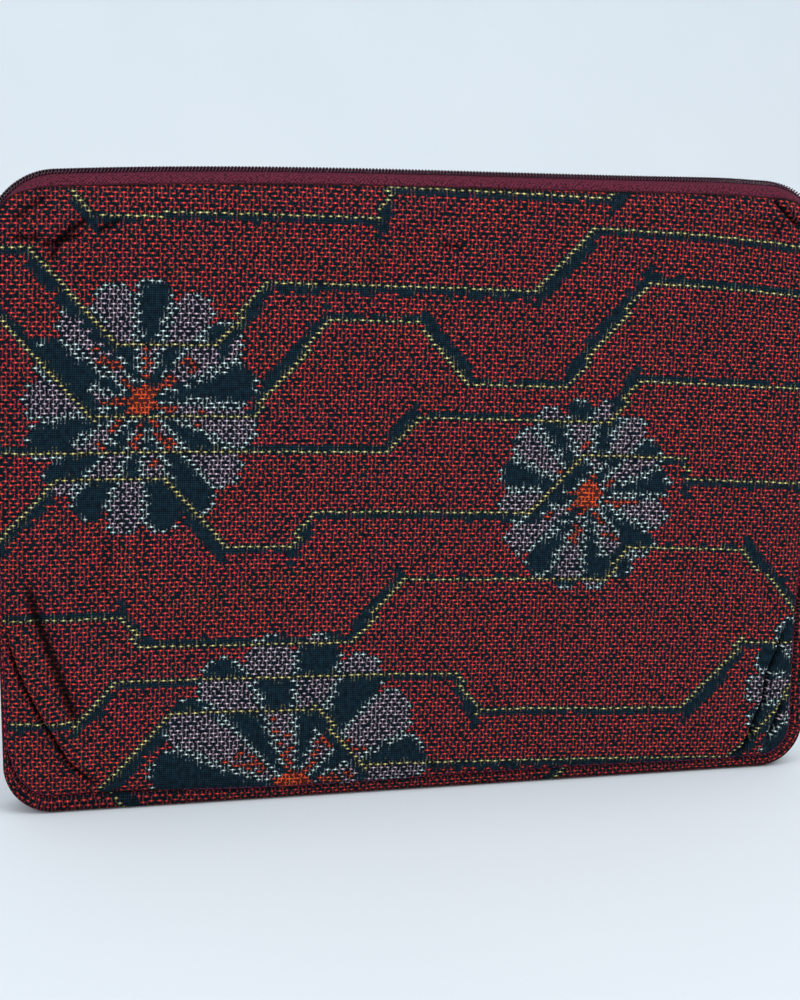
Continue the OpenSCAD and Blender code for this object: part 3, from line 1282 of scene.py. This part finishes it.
def make_lining(name, side):
    """A lining panel: two faces 0.4 mm apart, with a soft crumple."""
    cell = 4
    flat, cell_faces, _ = panel_cells(cell, cell)
    points = []
    for y in (POCKET_Y, LINING_Y - 0.05):
        for x, z, _, _ in flat:
            dx, dz = seam_shift(x, z)
            soft = min(1, max(0, edge_distance(x, z) - 2) / 12)
            crumple = soft * (0.35 * ripple(x, z, 30, side) + 0.2 * ripple(x, z, 11, side + 5))
            points.append((x * INNER_SHARE + dx, side * (y - abs(crumple)), z + dz))
    count = len(flat)
    faces = cell_faces + [[i + count for i in face][::-1] for face in cell_faces]
    faces += [[b, a, a + count, b + count] for a, b in border_edges(cell_faces)]
    piece = new_piece(name, points, faces, LINING)
    face_outwards(piece)
    return piece


def make_linings():
    front = make_lining("front_lining", -1)
    back = make_lining("back_lining_cloth", 1)
    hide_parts("front_lining_lower", "front_lining_upper")
    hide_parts("back_lining")
    attach(-1, front)
    attach(1, back)


def fit_plain(x, z, nx, nz, y, inset):
    """The point at y and inset from an outline point."""
    return x - nx * inset, y, z - nz * inset + crest_drop(x, z)


def fit_to_seam(x, z, nx, nz, y, inset):
    """Carries the seam edge of a strip with the panel, and leaves its outer edge on the outline."""
    x0 = x - nx * inset
    z0 = z - nz * inset
    share = smooth(2.1, SEAM_INSET, inset)
    dx, dz = seam_shift(x0, z0)
    return x0 + dx * share, y, z0 + lerp(crest_drop(x, z), dz, share)


GUSSET_W = 24
GUSSET_LINES = (
    Zigzag(1, (-240, 30), (-134, 30), (-106, 2), (40, 2), (62, 26), (150, 26)),
    Zigzag(-1, (175, 4), (195, 20), (260, 20)),
)


def make_gusset():
    """The strip under the base and up both sides, bulging between its two seams."""
    half = [(9.3, 6.2), (10.5, 4.9), (10.8, 3.4), (10.1, 1.5), (8.4, 0.4), (6, 0.0), (0, 0)]
    outer = rounded_section([(-y, inset) for y, inset in half[:-1]] + half[::-1], ROW)
    inner = [(y * 0.93, inset + 0.8) for y, inset in outer[::3][::-1]]
    size = len(outer + inner)
    columns = len(outer) - 1
    past_end = 1.5
    stations = stations_between(-past_end, BASE_LENGTH + past_end, COLUMN)
    gusset = sweep("gusset_strip", under_base, stations, outer + inner, fit_to_seam, KASURI)

    def cell_of(number):
        ring, k = divmod(number, size)
        return (ring, k) if ring < len(stations) - 1 and k < columns else None

    weave = Weave(lambda x, z: (BASE_LENGTH / 2 - x, GUSSET_W - z), 13, GUSSET_LINES, ())
    store_marks(gusset.data, cell_of, weave, 0.4)
    places = []
    for vertex in gusset.data.vertices:
        places += (*divmod(vertex.index, size), 0)
    gusset.data.attributes["cloth"].data.foreach_set("vector", places)
    # painted shade: the whole downward-facing gusset is darkened, its seam edges most
    painted_shades = [0.35] * size
    painted_shades[0] = painted_shades[columns] = 0.85
    store(gusset.data, "fold", "FLOAT", "POINT", painted_shades * len(stations))
    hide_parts("gusset")
    BASE_LENGTH * MM
    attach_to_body(gusset, "root")


def make_gusset_lining():
    profile = [(7.2, 1.3), (0, 1.1), (-7.2, 1.3), (-7.2, 1.6), (0, 1.4), (7.2, 1.6)]
    stations = stations_between(0, BASE_LENGTH, 4)
    lining = sweep("gusset_lining_strip", under_base, stations, profile, fit_plain, LINING)
    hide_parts("gusset_lining")
    BASE_LENGTH * MM
    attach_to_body(lining, "root")


def make_tape(name, side):
    """One side's tape, from under the panel's edge to under the coil."""
    top = [(9.2, 6.3), (9.3, 5.4), (7.8, 4.2), (5.8, 3.1), (3.6, 2.4), (2.2, 2.1), (0.7, 2.1)]
    curve = rounded_section(top, 0.9)
    underside = [(y - 0.2, inset + 0.6) for y, inset in curve[::-1]]
    profile = [(side * y, inset) for y, inset in curve + underside]
    past_end = 3
    stations = stations_between(-past_end, TOP_LENGTH + past_end, 2)
    tape = sweep(name, over_top, stations, profile, fit_to_seam, TAPE)
    TOP_LENGTH * MM
    return tape


COIL_PITCH = 1.3
COIL_WIRE_R = 0.3
COIL_HALF_D = 1.1
COIL_SLANT = 0.4
COIL_Y = 1.2
COIL_INSET = 1.3
CORD_R = 0.62
COIL_TURNS = int(TOP_LENGTH / COIL_PITCH)


def make_coil(name, side, shift):
    """One side's coil: a flattened helix of nylon along the edge of its tape."""
    steps = 14
    centres = []
    for k in range(COIL_TURNS * steps + 1):
        angle = 2 * math.pi * k / steps
        s = (k / steps + shift) * COIL_PITCH - COIL_SLANT * math.cos(angle)
        outline_point = over_top(min(max(s, 0), TOP_LENGTH))
        y = side * (COIL_Y + COIL_HALF_D * math.sin(angle))
        centres.append(Vector(fit_plain(*outline_point, y, COIL_INSET - math.cos(angle))))
    return tube(name, centres, COIL_WIRE_R, 6, COIL)


def make_cord(name, side):
    """The filler cord that runs inside a coil."""
    stations = stations_between(0, TOP_LENGTH, 1.5)
    centres = [Vector(fit_plain(*over_top(s), side * COIL_Y, COIL_INSET)) for s in stations]
    return tube(name, centres, CORD_R, 10, CORD)


def make_zip():
    front_tape = make_tape("front_zip_tape_cloth", -1)
    rear_tape = make_tape("rear_zip_tape_cloth", 1)
    front_coil = make_coil("front_coil", -1, 0)
    rear_coil = make_coil("rear_coil", 1, 0.5)
    front_cord = make_cord("front_coil_cord", -1)
    rear_cord = make_cord("rear_coil_cord", 1)
    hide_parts("front_zip_tape", "front_zip_tape_ends")
    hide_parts("rear_zip_tape")
    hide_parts("front_zip_coil", "front_zip_coil_ends")
    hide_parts("rear_zip_coil")
    attach(-1, front_tape, front_coil, front_cord)
    attach(1, rear_tape, rear_coil, rear_cord)


def stitch_row(name, count, size, centre, radius, sides, material):
    """A row of separate stitches. centre gives the place of each of a stitch's points, size in number."""
    centres = [Vector(centre(number, k)) for number in range(count) for k in range(size)]
    return tube(name, centres, radius, sides, material, range(size, len(centres), size))


def seam_stitches(name, side):
    """The thread that shows along a panel's base seam, one short stitch after another."""
    stitch = 2.6
    gap = 0.5
    above = 0.9

    def centre(number, k):
        x, z, nx, nz = under_base(number * (stitch + gap) + stitch * k / 4)
        sink = 0.25 * abs(k / 2 - 1) ** 3
        y = foam_height(above, x, z) + 0.15 - sink
        return fit_to_seam(x, z, nx, nz, side * y, SEAM_INSET + above)

    return stitch_row(name, int(BASE_LENGTH / (stitch + gap)), 5, centre, 0.24, 5, PANEL_THREAD)


def coil_stitches(name, side):
    """The sewing thread that holds a coil to its tape, one slanted stitch over each turn, made pale as a
    painted highlight.
    """
    def centre(number, k):
        outline_point = over_top((number + 0.15 + 0.2 * k) * COIL_PITCH)
        y = 2.5 - 0.12 * abs(k - 1.5)
        return fit_plain(*outline_point, side * y, 0.95 + 0.36 * k)

    return stitch_row(name, COIL_TURNS, 4, centre, 0.19, 6, ZIP_THREAD_AND_PAINTED_HIGHLIGHT)


def make_stitches():
    fronts = (seam_stitches("front_seam_thread", -1), coil_stitches("front_coil_thread", -1))
    backs = (seam_stitches("back_seam_thread", 1), coil_stitches("rear_coil_thread", 1))
    for piece in fronts + backs:
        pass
    attach(-1, *fronts)
    attach(1, *backs)


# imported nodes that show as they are
METAL_NODES = (
    "zip_bottom_stop", "zip_top_stops", "slider_body", "slider_bridge", "lock_spring", "pull_tab"
)


def finish_metal():
    """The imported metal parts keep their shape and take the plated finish."""
    for node in METAL_NODES:
        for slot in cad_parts[node].material_slots:
            slot.material = METAL


make_camera()
make_floor()
light_scene()
make_panels()
make_linings()
make_gusset()
make_gusset_lining()
make_zip()
make_stitches()
finish_metal()
